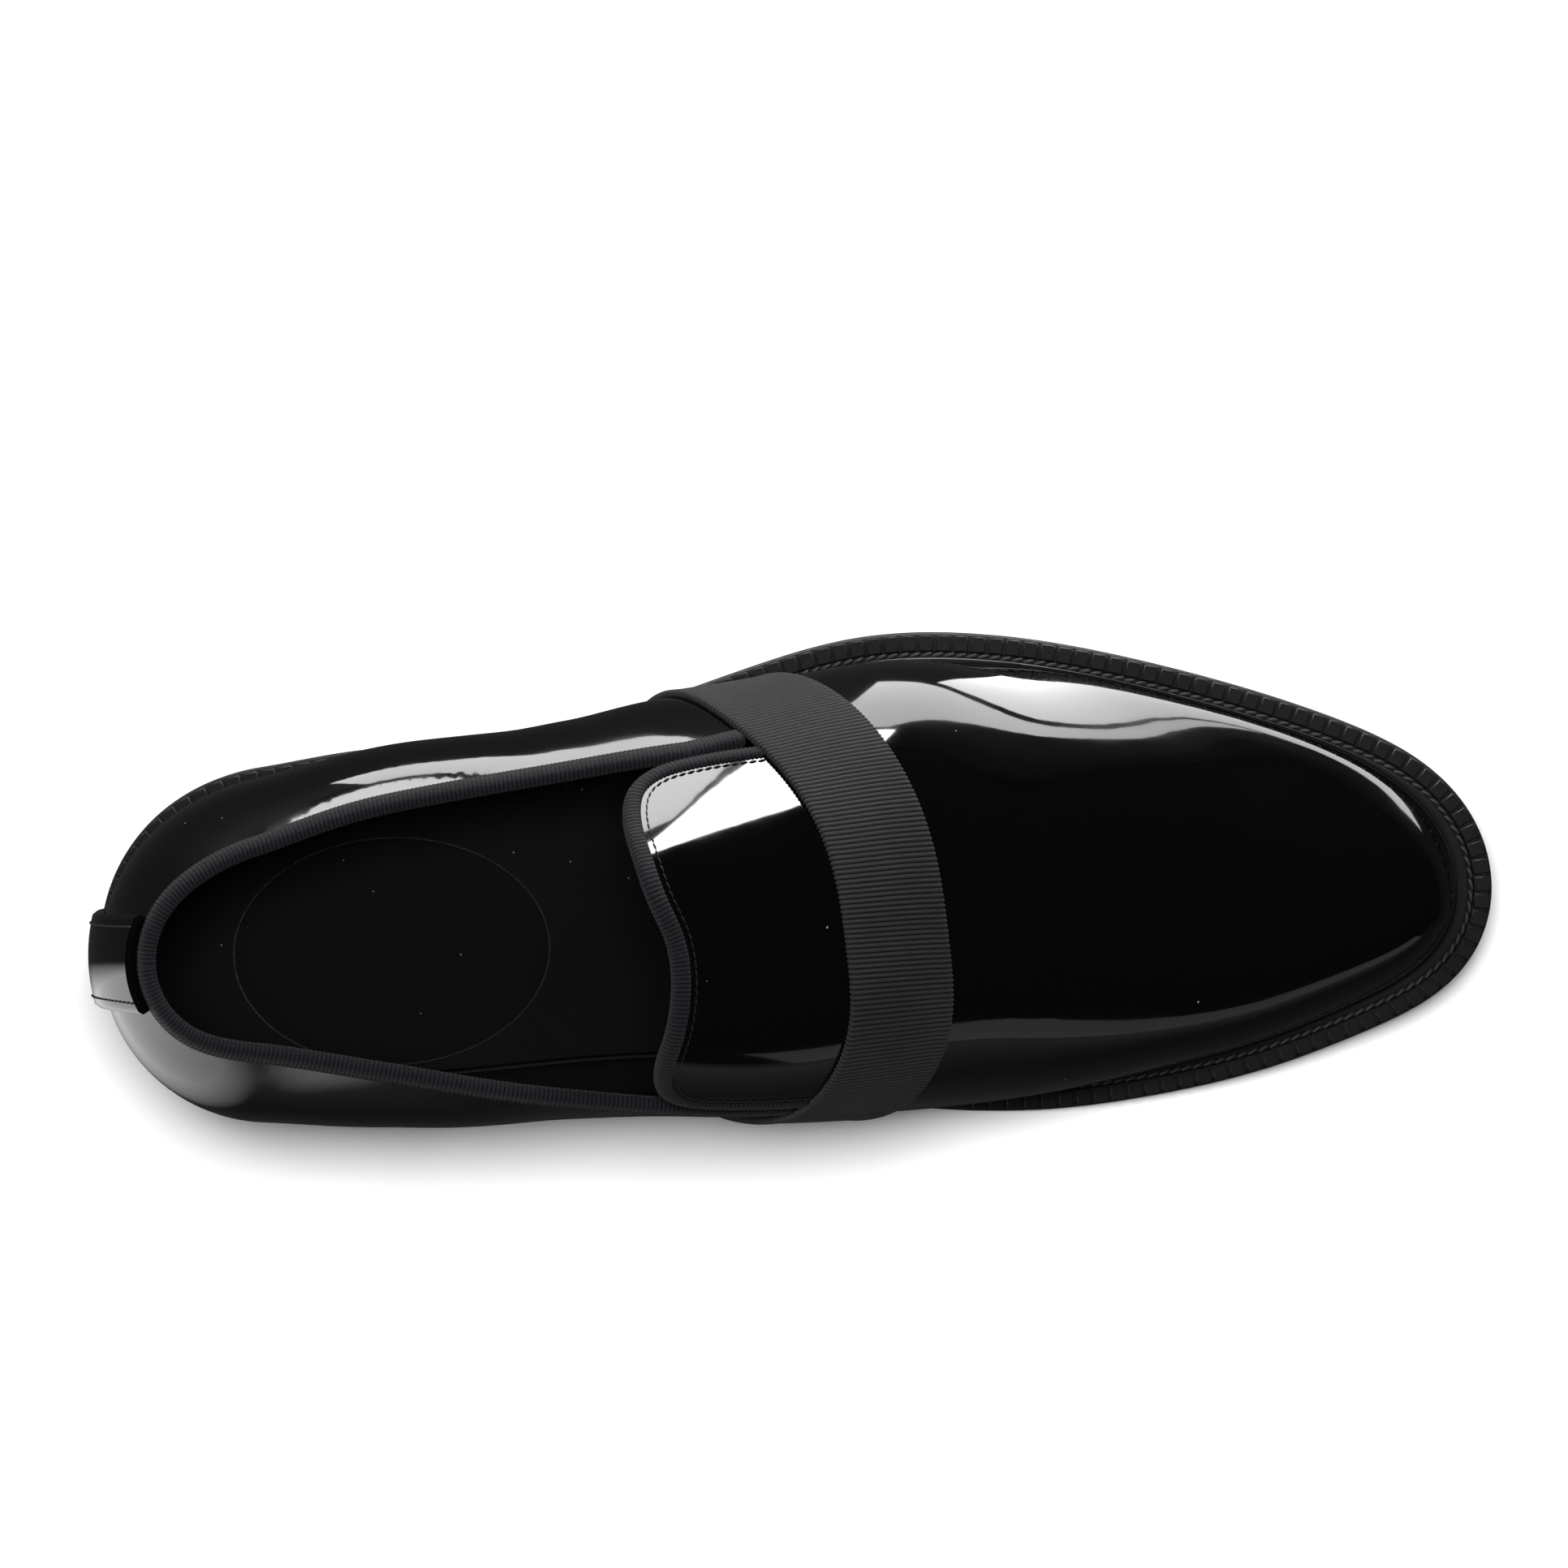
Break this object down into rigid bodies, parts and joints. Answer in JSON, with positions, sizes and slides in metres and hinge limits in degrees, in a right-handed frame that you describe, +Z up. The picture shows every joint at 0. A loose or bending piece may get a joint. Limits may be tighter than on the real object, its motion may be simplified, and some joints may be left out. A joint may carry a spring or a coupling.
{
  "type": "dress shoe",
  "caption": "Left tuxedo shoe of black patent leather with a ribbed band, bound edges and a notched welt, standing empty.",
  "frame": {"origin": "on the floor under the middle of the heel", "axes": "+X to the toe, +Y to the outer (lateral) side, +Z up"},
  "size_m": [0.3018, 0.1059, 0.0971],
  "materials": {
    "patent_leather": "high gloss patent",
    "grosgrain_band": "ribbed grosgrain",
    "binding_ribbon": "fine ribbed ribbon",
    "sole_rubber": "matt",
    "rand_rubber": "satin",
    "insole_cloth": "matt lining leather",
    "pad_cloth": "matt padded cloth"
  },
  "bodies": {
    "root": {"outsole": "sole_rubber", "heel_block": "sole_rubber", "top_lift": "sole_rubber", "welt": "sole_rubber", "storm_rand": "rand_rubber", "insole": "insole_cloth", "heel_pad": "pad_cloth", "upper": "patent_leather", "vamp_band": "grosgrain_band", "collar_binding": "binding_ribbon", "tongue_binding": "binding_ribbon", "heel_tab": "patent_leather"}
  },
  "joints": []
}
